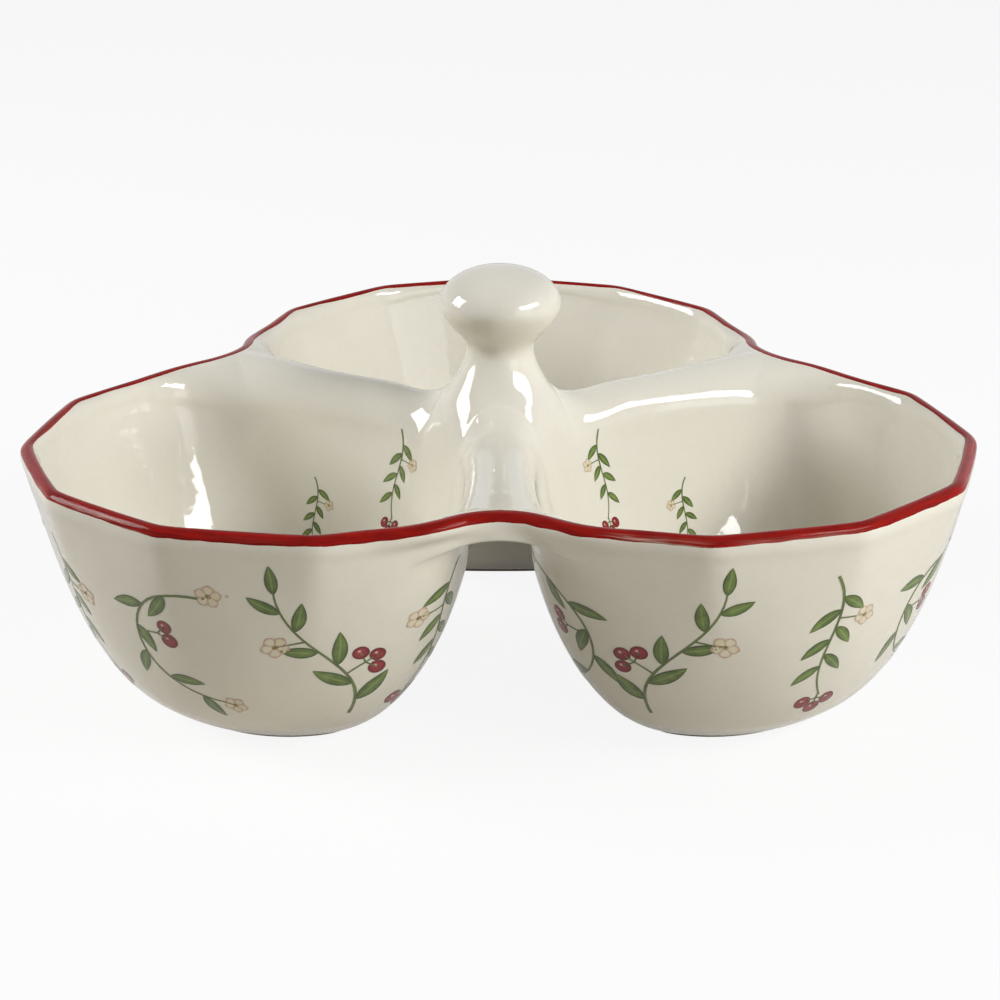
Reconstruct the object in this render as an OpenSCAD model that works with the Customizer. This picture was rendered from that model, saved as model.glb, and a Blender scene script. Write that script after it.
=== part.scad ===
/* [Rim] */
// Height of the rim's top edge above the table
rim_h = 86; // [76:1:100]
// Reach of a bowl's centre from the middle of the server, at the rim
rim_reach = 69; // [66:0.5:72]
// Outer radius of a bowl at the rim, across its panel corners
rim_r = 92; // [88:0.5:96]
// Radius of the inward curve where two rims meet
notch_fillet_r = 24.5; // [18:0.5:36]
// Height that the rim gains where two bowls meet
notch_rise = 1.5; // [0:0.25:3]
// Thickness of the rounded lip
lip_t = 5.2; // [4:0.2:6.4]
// Height of the lip's rounding on its outer side
lip_drop = 3; // [2:0.25:4]

/* [Bowls] */
// Thickness of the walls
wall_t = 5.3; // [4:0.1:6.5]
// Thickness of the floors
floor_t = 5.5; // [4:0.25:8]
// Reach of a bowl's centre from the middle of the server, at the foot
foot_reach = 76.5; // [73:0.5:80]
// Radius of a bowl's base
foot_r = 37; // [32:0.5:42]
// Height over which the base turns into the flaring wall
heel_h = 4.6; // [3:0.2:7]
// Number of flat panels that a full round of the rim would have
panels = 12; // [10:1:14]
// Turn of the left bowl's panels
left_panel_turn = 5; // [0:0.5:8]

/* [Webs between the bowls] */
// Half width of the gap between two bowls, just under the rim
gap_top = 4.4; // [3:0.2:6]
// Half width of the gap between two bowls, at the table
gap_foot = 46; // [42:0.5:50]
// Height over which the gap narrows from its foot
gap_fade_h = 29.3; // [26:0.5:33]
// Angle at the rim by which a bowl's side turns, so that the gap opens outward
gap_tilt = 3.8; // [2:0.2:4.6]
// Reach along a web at which the turned side keeps the gap's width
gap_pivot = 100; // [96:1:106]
// Thickness of the web that joins two bowls
web_t = 6.7; // [6:0.1:8]
// Height of the hollow curve under a web
arch_h = 12; // [10:0.5:15]
// Radius of the arch that a web's lower edge makes, seen from outside
arch_r = 28; // [24:1:36]
// Depth of the rounding between a web's crest and a bowl's wall
ridge_drop = 14; // [11:0.5:16]
// Width at which a shoulder has all of that depth
ridge_w = 10; // [9:0.5:12]

/* [Handle] */
// Reach of the post's flare along the webs
flare_reach = 27; // [25:0.5:32]
// Height of the post's seat above the rim
seat_rise = 6; // [4:0.25:8]
// Radius of the neck under the knob
neck_r = 10.1; // [9:0.1:12]
// Radius of the hollow at the foot of the post
bore_r = 13; // [11:0.25:13.5]
// Radius of the hollow at the neck
neck_bore_r = 5.6; // [4:0.2:6.4]
// Radius of the knob
knob_r = 20; // [18:0.1:23]
// Height of the knob's widest line above the rim
knob_rise = 33.8; // [31:0.2:37]
// Height of the knob above its widest line
knob_top = 12.5; // [10:0.1:15]
// Depth of the knob's curve below its widest line
knob_low = 17; // [15:0.1:18.5]
// Thickness of the knob's wall
knob_wall = 5; // [4:0.2:7]

/* [Red band and feet] */
// Thickness of the painted band on the lip
band_t = 0.4; // [0.3:0.05:0.6]
// Width of the painted band inside the lip's crest
band_inner_w = 1.5; // [1:0.1:1.9]
// Height of the unglazed foot rings
foot_h = 1.2; // [0.8:0.1:2.5]
// Width of the unglazed foot rings
foot_w = 4; // [3:0.25:6]
// Step from the base's edge in to its foot ring
foot_step = 1.5; // [1:0.25:3]

/* [Hidden] */
$fn = 96;

// Each bowl fills a third of a turn, so the webs lie this far off a bowl's own direction
web_dir = 60;
bowl_dirs = [90, 210, 330];
panel_turns = [0, left_panel_turn, 0];
panel_deg = 360 / panels;

// Powers and shares that shape the wall: chosen by eye, without a unit
flare_power = 2.1;
knob_low_power = 1.58;
wall_power = 0.53;
corner_power = 8;
ridge_power = 2.1;
panel_share = 0.85;
panel_start_share = 0.3;
inner_end_share = 0.55;
inner_top_share = 0.82;
inner_rise_share = 0.5;
arch_drop_share = 0.7;

// Steps and shares along one section of a bowl, from its floor to its foot
floor_ring_share = 0.6;
cavity_shares = [0, 0.05, 0.13, 0.25, 0.42, 0.62, 0.82];
ridge_shares = [0.04, 0.16, 0.4, 0.72];
drop_shares = [0.15, 0.35, 1];
arch_angles = [60, 30, 0];
outer_shares = [0.82, 0.64, 0.46, 0.3, 0.17, 0.08, 0.03, 0];
panel_shares = [0, 0.14, 0.5, 0.86];
web_steps = 10;
hub_steps = 6;
flare_steps = 10;
knob_steps = 20;
slope_step = 1.2;
notch_fade_deg = 20;
rise_fade_share = 0.6;

// The clay's crest lies under the painted band
crest_h = rim_h - band_t;
lip_in = lip_t / 2;
edge_r = rim_r - band_t;
wall_h = crest_h - lip_drop;
under_h = crest_h - web_t;
arch_foot_h = under_h - arch_h;
cavity_floor_h = foot_h + floor_t;

// The two rims' fillet touches both rim circles, so its centre lies on the web's own line
fillet_reach = rim_reach * cos(web_dir)
    + sqrt(pow(edge_r + notch_fillet_r, 2) - pow(rim_reach * sin(web_dir), 2));
notch_reach = fillet_reach - notch_fillet_r;
fillet_x = fillet_reach * cos(web_dir) - rim_reach;
fillet_y = fillet_reach * sin(web_dir);
fillet_deg = atan2(fillet_y, fillet_x);
notch_deg = atan2(notch_reach * sin(web_dir), notch_reach * cos(web_dir) - rim_reach);

// The knob narrows below its widest line along a power curve: its depth at a share of its radius
function low_share(r_share) = pow(1 - pow(r_share, knob_low_power), 1 / knob_low_power);

// The post's flare, as a height over the rim at each reach, and its seat on the bowls
neck_rise = knob_rise - knob_low * low_share(neck_r / knob_r);
function flare_rise(reach) = reach >= flare_reach ? 0
    : neck_rise * pow((flare_reach - reach) / (flare_reach - neck_r), flare_power);
function flare_r(rise) = flare_reach
    - (flare_reach - neck_r) * pow(rise / neck_rise, 1 / flare_power);
seat_r = flare_r(seat_rise);
seat_h = crest_h + seat_rise;
neck_h = crest_h + neck_rise;
knob_h = crest_h + knob_rise;

function smooth(s) = let (c = min(max(s, 0), 1)) c * c * (3 - 2 * c);
function mix(a, b, s) = a + (b - a) * s;
function at(xy, z) = [xy[0], xy[1], z];

// Outline of a rim or wall with flat panels: 1 at the corners, less between them
function panel_scale(deg, turn, depth) = let (
        past = (deg - turn) - panel_deg * floor((deg - turn) / panel_deg) - panel_deg / 2)
    1 - depth + depth * cos(panel_deg / 2) / cos(past);

// The wall's radius, gap and centre at a height, and the tilt of the wall there
function centre_reach(z) = mix(foot_reach, rim_reach, z / rim_h);
function spread(z) = let (s = z / wall_h, heel = exp(-z / heel_h))
    pow(s, wall_power) * (1 - heel) + s * heel;
function wall_r(z) = mix(foot_r, edge_r, spread(max(z, 0)));
function half_gap(z) = mix(gap_top, gap_foot, exp(-z / gap_fade_h));
function lean(z) = (wall_r(z + slope_step) - wall_r(z)) / slope_step;
function tilt_out(z) = 1 / sqrt(1 + pow(lean(z), 2));
function tilt_up(z) = lean(z) * tilt_out(z);

// Distance from a bowl's centre to its side beside a web, turned by an angle about the pivot
function side_reach(z, tilt) = cos(tilt) * (centre_reach(z) * sin(web_dir) - half_gap(z))
    + sin(tilt) * (gap_pivot - centre_reach(z) * cos(web_dir));

// A wall's outline at one angle: the panelled round, cut back beside both webs and the middle
function outline_r(deg, z, turn, inset) = let (
        depth = panel_share * smooth((z / rim_h - panel_start_share) / (1 - panel_start_share)),
        round_r = wall_r(z) * panel_scale(deg, turn, depth) - inset,
        tilt = gap_tilt * z / rim_h,
        side_deg = 90 + web_dir - tilt,
        side = side_reach(z, tilt) - inset,
        end = side_reach(z, tilt) / -cos(side_deg)
            * mix(inner_end_share, inner_top_share, min(1, z / rim_h / inner_rise_share)) - inset)
    pow(pow(1 / round_r, corner_power)
        + pow(max(cos(deg - side_deg), 0) / side, corner_power)
        + pow(max(cos(deg + side_deg), 0) / side, corner_power)
        + pow(max(-cos(deg), 0) / end, corner_power), -1 / corner_power);
function along(deg, r, z) = [centre_reach(z) + r * cos(deg), r * sin(deg)];
function outer_xy(deg, z, turn) = along(deg, outline_r(deg, z, turn, 0), z);

// The cavity's wall follows the outer one, a wall's thickness in along its normal
function outer_z(z) = max(z - wall_t * tilt_up(max(z - wall_t * tilt_up(z), foot_h)), foot_h);
function cavity_xy(deg, z, turn) = let (from = outer_z(z))
    along(deg, outline_r(deg, from, turn, wall_t * tilt_out(from)), from);

// Stations round one bowl. Each is [angle, edge, crest, crest height, share of notch, place]
RIM = 0;
WEB = 1;
HUB = 2;
function rim_edge_r(deg, turn) = let (
        side = abs(deg),
        depth = panel_share * smooth((fillet_deg - side) / notch_fade_deg),
        facing = fillet_x * cos(side) + fillet_y * sin(side),
        across = pow(facing, 2) + pow(notch_fillet_r, 2) - pow(fillet_x, 2) - pow(fillet_y, 2))
    side <= fillet_deg ? edge_r * panel_scale(deg, turn, depth) : facing - sqrt(max(across, 0));
function rim_station(deg, turn) = let (
        side = abs(deg),
        r = rim_edge_r(deg, turn),
        edge = [rim_reach + r * cos(deg), r * sin(deg)],
        fillet_centre = [rim_reach + fillet_x, sign(deg) * fillet_y],
        in_dir = side <= fillet_deg ? [-cos(deg), -sin(deg)]
            : (edge - fillet_centre) / norm(edge - fillet_centre),
        notch = smooth((side - notch_deg + notch_fade_deg) / notch_fade_deg))
    [deg, edge, edge + lip_in * in_dir, crest_h + notch_rise * notch, notch, RIM];
function web_station(reach, side) = let (
        crest = reach * [cos(web_dir), side * sin(web_dir)],
        rise = notch_rise * smooth((reach / notch_reach - rise_fade_share) / (1 - rise_fade_share)))
    [atan2(crest[1], crest[0] - rim_reach), crest, crest,
     crest_h + rise + flare_rise(reach), 1, WEB];
function hub_station(turn_deg) = let (
        dir = [cos(turn_deg), sin(turn_deg)],
        crest = seat_r * dir)
    [atan2(crest[1], crest[0] - rim_reach), bore_r * dir, crest, seat_h, 1, HUB];

// The rim's angles: the notches, each panel's corners and places between, and the fillets
function panel_angles(turn) = [
    for (corner = [-4:3], s = panel_shares)
        let (deg = turn + panel_deg * (corner + s))
        if (abs(deg) < fillet_deg - panel_deg / 8) deg];
fillet_angles = [for (s = [1, 0.5, 0]) mix(fillet_deg, notch_deg, s)];
function rim_angles(turn) = concat(-fillet_angles, panel_angles(turn),
    [for (k = [len(fillet_angles) - 1:-1:0]) fillet_angles[k]]);
web_reaches = [for (k = [1:web_steps - 1])
    mix(notch_reach - lip_in, seat_r, (1 - cos(180 * k / web_steps)) / 2)];
function stations(turn) = concat(
    [for (deg = rim_angles(turn)) rim_station(deg, turn)],
    [for (reach = web_reaches) web_station(reach, 1)],
    [for (k = [0:hub_steps]) hub_station(mix(web_dir, -web_dir, k / hub_steps))],
    [for (k = [len(web_reaches) - 1:-1:0]) web_station(web_reaches[k], -1)]);

// Places on one station's section, from the cavity's wall over the crest
function crest_drop(s, turn) = let (
        width = norm(s[2] - cavity_xy(s[0], crest_h - ridge_drop, turn)))
    mix(lip_drop, ridge_drop, smooth((width - lip_in) / (ridge_w - lip_in)));
function ridge_point(s, share, turn) = let (
        from_h = crest_h - crest_drop(s, turn),
        from = cavity_xy(s[0], from_h, turn),
        width = norm(s[2] - from),
        reach = share * (1 - band_inner_w / width),
        power = s[5] == RIM ? 2 : ridge_power - flare_rise(norm(s[2])) / seat_rise,
        up = pow(1 - pow(1 - reach, power), 1 / power))
    at(mix(from, s[2], reach), mix(from_h, s[3], up));
function cavity_point(s, share, turn) = let (
        z = mix(cavity_floor_h, crest_h - crest_drop(s, turn), share))
    at(cavity_xy(s[0], z, turn), z);
function lip_point(s, angle) = let (out = s[1] - s[2])
    at(s[2] + out * sin(angle), s[3] - lip_drop * (1 - cos(angle)));

// The lower edge beside a web is an arch: it is highest in the web's own plane
function web_off(p) = abs(p[0] * sin(web_dir) - abs(p[1]) * cos(web_dir));
function low_edge_h(s) = s[5] != RIM ? under_h
    : under_h - min(pow(web_off(s[1]), 2) / 2 / arch_r, arch_h * arch_drop_share);

// Places on one station's section, from the lip or the web's edge down to the foot
function edge_under(s, turn) = s[5] == RIM
    ? mix(outer_xy(s[0], low_edge_h(s), turn), s[1], s[4]) : s[1];
function edge_point(s, k, turn) = let (share = drop_shares[k], last = len(drop_shares) - 1)
    k == last ? at(edge_under(s, turn), low_edge_h(s))
    : s[5] == RIM ? lip_point(s, 90 * (k + 1) / last)
    : s[5] == HUB && k == 0 ? at(s[1], s[3])
    : at(s[1], mix(s[3], under_h, share));
function arch_point(s, angle, turn) = let (
        z = mix(arch_foot_h, low_edge_h(s), sin(angle)),
        over = edge_under(s, turn) - outer_xy(s[0], low_edge_h(s), turn))
    at(outer_xy(s[0], z, turn) + over * (1 - cos(angle)), z);
function outer_point(s, share, turn) = let (z = mix(foot_h, arch_foot_h, share))
    at(outer_xy(s[0], z, turn), z);

// All rings of one bowl, in its own direction
function floor_ring(list, turn) = [for (s = list) let (p = cavity_point(s, 0, turn),
    c = at([centre_reach(foot_h), 0], cavity_floor_h)) mix(c, p, floor_ring_share)];
function bowl_rings(list, turn) = concat(
    [floor_ring(list, turn)],
    [for (share = cavity_shares) [for (s = list) cavity_point(s, share, turn)]],
    [for (share = concat([0], ridge_shares, [1])) [for (s = list) ridge_point(s, share, turn)]],
    [[for (s = list) at(s[2], s[3])]],
    [for (k = [0:len(drop_shares) - 1]) [for (s = list) edge_point(s, k, turn)]],
    [for (angle = arch_angles) [for (s = list) arch_point(s, angle, turn)]],
    [for (share = outer_shares) [for (s = list) outer_point(s, share, turn)]]);

// Closes a stack of rings with a point at each end
module ring_stack(rings, first, last) {
    n = len(rings[0]);
    count = len(rings);
    end = n * count;
    points = concat([for (ring = rings) for (p = ring) p], [first, last]);
    sides = [for (k = [0:count - 2], i = [0:n - 1]) let (
            j = (i + 1) % n, a = k * n + i, b = k * n + j, c = a + n, d = b + n)
        each [[a, b, c], [b, d, c]]];
    tops = [for (i = [0:n - 1]) [end, (i + 1) % n, i]];
    bottoms = [for (i = [0:n - 1]) [end + 1, end - n + i, end - n + (i + 1) % n]];
    polyhedron(points, concat(sides, tops, bottoms), convexity = 10);
}

module bowl(index) {
    turn = panel_turns[index];
    list = stations(turn);
    rotate([0, 0, bowl_dirs[index]])
    ring_stack(bowl_rings(list, turn),
        [centre_reach(foot_h), 0, cavity_floor_h], [centre_reach(foot_h), 0, foot_h]);
}

// The painted band: a thin layer over the lip, in one closed loop round all three bowls
function band_section(s, turn) = let (
        out = (s[1] - s[2]) / lip_in,
        inner = ridge_point(s, 1, turn),
        inner_out = at(out * -sin(45), cos(45)),
        low = edge_point(s, 1, turn),
        mid = edge_point(s, 0, turn),
        top = at(s[2], s[3]))
    [inner, top, mid, low, low + band_t * at(out, 0),
     mid + band_t * at(out * sin(45), cos(45)), top + band_t * at([0, 0], 1),
     inner + band_t * inner_out];
function turned(p, deg) = [p[0] * cos(deg) - p[1] * sin(deg), p[0] * sin(deg) + p[1] * cos(deg), p[2]];
function band_sections() = [
    for (index = [0:len(bowl_dirs) - 1])
        let (turn = panel_turns[index], angles = rim_angles(turn))
        for (k = [0:len(angles) - 2])
            let (section = band_section(rim_station(angles[k], turn), turn))
            [for (p = section) turned(p, bowl_dirs[index])]];

module band_loop() {
    sections = band_sections();
    count = len(sections);
    m = len(sections[0]);
    points = [for (section = sections) for (p = section) p];
    faces = [for (k = [0:count - 1], i = [0:m - 1]) let (
            next = (k + 1) % count, j = (i + 1) % m,
            a = k * m + i, b = k * m + j, c = next * m + i, d = next * m + j)
        each [[a, b, c], [b, d, c]]];
    polyhedron(points, faces, convexity = 10);
}

// The origin is under the middle of the server's own box, so every piece moves back by this
rim_ys = [for (section = band_sections()) for (p = section) p[1]];
middle_y = -(min(rim_ys) + max(rim_ys)) / 2;
module placed() {
    translate([0, middle_y, 0])
    children();
}

// A foot ring follows its bowl's base, a step in from the edge
function base_outline(turn, inset) = [for (s = stations(turn))
    along(s[0], outline_r(s[0], foot_h, turn, inset), foot_h)];
module foot_ring(index) {
    turn = panel_turns[index];
    rotate([0, 0, bowl_dirs[index]])
    linear_extrude(foot_h)
    difference() {
        polygon(base_outline(turn, foot_step));
        polygon(base_outline(turn, foot_step + foot_w));
    }
}

module bowl_back() {
    color("ivory")
    placed()
    bowl(0);
}

module bowl_left() {
    color("ivory")
    placed()
    bowl(1);
}

module bowl_right() {
    color("ivory")
    placed()
    bowl(2);
}

// The hollow post stands on the seat where the three bowls meet
module handle_post() {
    outer = [for (k = [0:flare_steps]) let (rise = mix(seat_rise, neck_rise, k / flare_steps))
        [flare_r(rise), crest_h + rise]];
    color("ivory")
    placed()
    rotate_extrude()
    polygon(concat(outer, [[neck_bore_r, neck_h], [bore_r, seat_h]]));
}

// One side of the knob's curve, at an angle from its widest line
function knob_point(r, top, low, deg) = deg >= 0
    ? [r * cos(deg), knob_h + top * sin(deg)]
    : [r * pow(cos(deg), 2 / knob_low_power), knob_h - low * pow(sin(-deg), 2 / knob_low_power)];
function low_deg(r_share) = -acos(pow(r_share, knob_low_power / 2));

// The oval knob, hollow down to the neck
module knob() {
    hollow_r = knob_r - knob_wall;
    hollow_low = (knob_h - neck_h) / low_share(neck_bore_r / hollow_r);
    start_deg = low_deg(neck_r / knob_r);
    hollow_deg = low_deg(neck_bore_r / hollow_r);
    outer = [for (k = [0:knob_steps])
        knob_point(knob_r, knob_top, knob_low, mix(start_deg, 90, k / knob_steps))];
    inner = [for (k = [0:knob_steps])
        knob_point(hollow_r, knob_top - knob_wall, hollow_low, mix(90, hollow_deg, k / knob_steps))];
    color("ivory")
    placed()
    rotate_extrude()
    polygon(concat(outer, inner));
}

module rim_band() {
    color("firebrick")
    placed()
    band_loop();
}

module foot_ring_back() {
    color("tan")
    placed()
    foot_ring(0);
}

module foot_ring_left() {
    color("tan")
    placed()
    foot_ring(1);
}

module foot_ring_right() {
    color("tan")
    placed()
    foot_ring(2);
}

bowl_back();
bowl_left();
bowl_right();
handle_post();
knob();
rim_band();
foot_ring_back();
foot_ring_left();
foot_ring_right();
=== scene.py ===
import math

import bpy
import numpy as np
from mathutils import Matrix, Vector
from mathutils.bvhtree import BVHTree
from mathutils.interpolate import poly_3d_calc


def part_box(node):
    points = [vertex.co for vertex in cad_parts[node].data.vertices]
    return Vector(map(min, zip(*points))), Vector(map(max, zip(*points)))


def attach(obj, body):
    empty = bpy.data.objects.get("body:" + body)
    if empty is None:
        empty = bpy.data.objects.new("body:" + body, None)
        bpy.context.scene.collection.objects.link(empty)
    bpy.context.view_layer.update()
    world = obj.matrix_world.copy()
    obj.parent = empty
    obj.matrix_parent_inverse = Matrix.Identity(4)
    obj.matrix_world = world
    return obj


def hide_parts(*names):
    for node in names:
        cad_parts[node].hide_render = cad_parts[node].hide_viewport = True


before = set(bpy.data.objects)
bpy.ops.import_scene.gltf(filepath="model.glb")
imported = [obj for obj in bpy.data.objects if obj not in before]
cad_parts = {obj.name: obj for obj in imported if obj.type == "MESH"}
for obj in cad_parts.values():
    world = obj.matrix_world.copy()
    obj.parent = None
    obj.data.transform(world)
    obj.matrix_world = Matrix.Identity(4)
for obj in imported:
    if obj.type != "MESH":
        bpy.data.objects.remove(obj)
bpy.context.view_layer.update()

MM = 0.001

# The same named values as the CAD source, in millimetres
RIM_H, RIM_REACH, RIM_R = 86.0, 69.0, 92.0
NOTCH_FILLET_R, NOTCH_RISE = 24.5, 1.5
LIP_T, LIP_DROP = 5.2, 3.0
WALL_T, FLOOR_T = 5.3, 5.5
FOOT_REACH, FOOT_R, HEEL_H = 76.5, 37.0, 4.6
PANELS, LEFT_PANEL_TURN = 12, 5.0
GAP_TOP, GAP_FOOT, GAP_FADE_H = 4.4, 46.0, 29.3
GAP_TILT, GAP_PIVOT = 3.8, 100.0
WEB_T, ARCH_H, ARCH_R, RIDGE_DROP, RIDGE_W = 6.7, 12.0, 28.0, 14.0, 10.0
FLARE_REACH, SEAT_RISE, NECK_R = 27.0, 6.0, 10.1
BORE_R, NECK_BORE_R = 13.0, 5.6
KNOB_R, KNOB_RISE, KNOB_TOP, KNOB_LOW, KNOB_WALL = 20.0, 33.8, 12.5, 17.0, 5.0
BAND_T = 0.4
FOOT_H, FOOT_W, FOOT_STEP = 1.2, 4.0, 1.5
WEB_DIR = 60.0
# Each bowl's name, direction and turn of its panels
BOWLS = (("bowl_back", 90.0, 0.0), ("bowl_left", 210.0, LEFT_PANEL_TURN), ("bowl_right", 330.0, 0.0))
FLARE_POWER, KNOB_LOW_POWER, WALL_POWER = 2.1, 1.58, 0.53
CORNER_POWER, RIDGE_POWER = 8.0, 2.1
PANEL_SHARE, PANEL_START_SHARE = 0.85, 0.3
INNER_END_SHARE, INNER_TOP_SHARE, INNER_RISE_SHARE = 0.55, 0.82, 0.5
ARCH_DROP_SHARE = 0.7
SLOPE_STEP, NOTCH_FADE_DEG, RISE_FADE_SHARE = 1.2, 20.0, 0.6

# From here on, values of the visible surface alone

# How sharp a panel's crease is, and how deep the panels are cut inside a bowl
CREASE_POWER, CAVITY_PANEL_SHARE = 110.0, 0.6
# Over what angle and height the web's edge and the lip fade into the wall below them
UNDER_FADE_DEG, LIP_FADE_H = 15.0, 5.0
# A round shoulder's power, over what widths a web's shoulder takes its own and turns into the flare, and
# over what angle the one over the seat turns up its slope
ROUND_POWER = 2.0
POWER_FADE_W, FLARE_FADE_W, FLARE_FAN_DEG = 15.0, 12.0, 26.0
# Places round a bowl: on its rim, on each fillet of the rim, on each web and on its third of the hub
RIM_COUNT, FILLET_COUNT, WEB_COUNT, HUB_COUNT = 117, 9, 36, 24
SEGMENTS = 3 * HUB_COUNT
# Rings of a bowl, from the middle of its floor over the crest to the middle of its base
FLOOR_SHARES, BASE_SHARES = (0.18, 0.4, 0.6, 0.78, 0.91), (0.05, 0.2, 0.45, 0.75)
CAVITY_RINGS, SHOULDER_RINGS, LIP_RINGS, FACE_RINGS, ARCH_RINGS, OUTSIDE_RINGS = 24, 11, 7, 8, 8, 30
RING_POWER = 1.5
# From and to which ring the turn from floor to wall and the base's edge are smoothed, and how often
SOFT_RINGS = ((2, 14, 14), (-12, -2, 3))
# Rings of the post, of the knob and of its hollow, and shares of the way down the bore
POST_RINGS, KNOB_RINGS, HOLLOW_RINGS, BORE_SHARES = 24, 40, 13, (0, 0.33, 0.67, 1)
# Samples of the post's and the knob's outlines, and over what length and how often their neck is smoothed
POST_SAMPLES, KNOB_SAMPLES, NECK_SOFT_W, NECK_ROUNDS = 60, 120, 5.0, 10
# Places in one cell of this size count as one; the shift keeps round sizes off the cells' edges
CELL, CELL_SHIFT = 0.01, 0.371
# How near a joint's plane a place has to be to lie in it
ON_PLANE = 1e-4
# The glaze softens the joint round the post: from the seat's edge up to the first distance fully, beyond
# the second not at all, in so many rounds of a pace, and by at most the last value
RELAX_FULL, RELAX_END, RELAX_ROUNDS, RELAX_PACE, RELAX_MOST = 6.6, 28.6, 80, 0.5, 1.6
# The bore's mouth stays as it is, up to this distance from it
BORE_HOLD = 0.5
# The band's places along and across it, how far it reaches in over the lip and down, and its arc's radius
BAND_COUNT, BAND_ACROSS = 660, 17
BAND_IN_DEG, BAND_DEPTH, BAND_ARC_R = 33.0, 2.55, 2.8
# Its uneven edges: how far they swing, and the seed, the periods and the roughness of their waves
IN_WAVE = (7.0, 3, range(5, 60, 3), 0.6)
DEPTH_WAVE, FINE_WAVE = (0.42, 7, range(4, 110, 3), 0.5), (0.08, 11, range(60, 200, 7), 0.2)
# How deep the paint's edge lies in the glaze, how far it rises and over what width, how deep its underside
# lies, and the length of one unit of its pattern
BAND_SINK, BAND_RISE, BAND_RISE_W, BAND_UNDER, BAND_UNIT = 0.03, 0.17, 0.55, 0.3, 100.0
# The rays that find the lip under it: where from, how far, down to which angle, how near the arc's middle
# a hit may be, and where the lip is taken to be without one
BAND_RAY, BAND_RAY_END, BAND_LAST_DEG, BAND_NEAR, BAND_MISS_R = 14.0, 24.0, 89.3, 1.0, 2.6
# How high the sprigs' paint lies on the glaze, how far out and how far in the rays start that find the
# wall, how far they go, and how squarely the wall has to face them
PAINT_LIFT, PAINT_RAY, PAINT_RAY_IN, PAINT_RAY_END, PAINT_FACING = 0.09, 3.5, 14.0, 15.75, 0.15
# Angles and height of the sprigs outside; angle, height and size of those inside
SPRIG_TURNS = (-98.0, -66.0, -33.0, 0.0, 33.0, 66.0, 98.0)
SPRIG_H, SPRIG_SEED = 43.0, 20
INSIDE_SPOTS = ((156.0, 58.0, 0.62), (120.0, 40.0, 0.5))
# Points along a stem, along and across a leaf and round a disc, and the disc's rings
STEM_POINTS, LEAF_POINTS, LEAF_ACROSS, DISC_POINTS = 26, 12, 5, 19
DISC_RINGS = (0.04, 0.4, 0.72, 1.0)
# Leaves: how wide for their length, how full, how curled, and how their angle and their length vary
LEAF_SHARE, LEAF_POWER, LEAF_CURL, LEAF_TURN, LEAF_LEAST, LEAF_MORE = 0.36, 0.85, 0.14, 12, 0.92, 0.16
# Berries: the angle from one to the next, their stalks, their least radius and how much larger they get
BERRY_FAN_DEG, BERRY_STALK, BERRY_R, BERRY_MORE = 74, 4.6, 2.65, 0.3
# Blossoms: their petals, how wide these are for their length, and how large the eye is for it
PETALS, PETAL_SHARE, EYE_SHARE = 5, 0.86, 0.2
# The foot rings' section as (in, up) steps, and their places round the ring
FOOT_SECTION = ((0.35, 0), (0.12, 0.15), (0, 0.45), (0, FOOT_H), (FOOT_W, FOOT_H), (FOOT_W, 0.45),
                (FOOT_W - 0.12, 0.15), (FOOT_W - 0.35, 0), (FOOT_W / 2, 0))
FOOT_COUNT = 160

# Where the server's axis lies in the row's frame
AXIS_Y = sum(c.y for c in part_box("knob")) / 2 / MM


def cosd(a):
    return np.cos(np.radians(a))


def sind(a):
    return np.sin(np.radians(a))


def smooth(s):
    c = np.clip(s, 0.0, 1.0)
    return c * c * (3 - 2 * c)


def mix(a, b, s):
    return a + (b - a) * s


def norms(v):
    return np.linalg.norm(v, axis=1)


def unit(v):
    return v / norms(v)[:, None]


def deg_from(xy, centre_x=0.0):
    return np.degrees(np.arctan2(xy[:, 1], xy[:, 0] - centre_x))


def way_along(line):
    """How far along a line each of its places is."""
    return np.concatenate([[0], np.cumsum(norms(np.diff(line, axis=0)))])


def spaced(line, way, stops):
    """The places of a line at some stops of the way along it."""
    return np.stack([np.interp(stops, way, column) for column in line.T], -1)


def turned(p, deg):
    """Points turned about the server's middle axis."""
    c, s = cosd(deg), sind(deg)
    out = np.array(p, float)
    out[..., 0], out[..., 1] = p[..., 0] * c - p[..., 1] * s, p[..., 0] * s + p[..., 1] * c
    return out


# Derived sizes, as in the source
crest_h = RIM_H - BAND_T
lip_in = LIP_T / 2
edge_r = RIM_R - BAND_T
wall_h = crest_h - LIP_DROP
under_h = crest_h - WEB_T
arch_foot_h = under_h - ARCH_H
cavity_floor_h = FOOT_H + FLOOR_T
panel_deg = 360.0 / PANELS
fillet_reach = RIM_REACH * cosd(WEB_DIR) + math.sqrt(
    (edge_r + NOTCH_FILLET_R) ** 2 - (RIM_REACH * sind(WEB_DIR)) ** 2)
notch_reach = fillet_reach - NOTCH_FILLET_R
fillet_c = np.array([fillet_reach * cosd(WEB_DIR) - RIM_REACH, fillet_reach * sind(WEB_DIR)])
fillet_deg = math.degrees(math.atan2(fillet_c[1], fillet_c[0]))
notch_deg = math.degrees(math.atan2(notch_reach * sind(WEB_DIR), notch_reach * cosd(WEB_DIR) - RIM_REACH))


def low_share(r_share):
    return (1 - r_share ** KNOB_LOW_POWER) ** (1 / KNOB_LOW_POWER)


neck_rise = KNOB_RISE - KNOB_LOW * low_share(NECK_R / KNOB_R)
knob_h = crest_h + KNOB_RISE
seat_h = crest_h + SEAT_RISE


def flare_rise(reach):
    share = np.clip((FLARE_REACH - reach) / (FLARE_REACH - NECK_R), 0, None)
    return neck_rise * share ** FLARE_POWER


def flare_r(rise):
    return FLARE_REACH - (FLARE_REACH - NECK_R) * (rise / neck_rise) ** (1 / FLARE_POWER)


seat_r = flare_r(SEAT_RISE)
seat_slope = FLARE_POWER * SEAT_RISE / (FLARE_REACH - seat_r)


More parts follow.
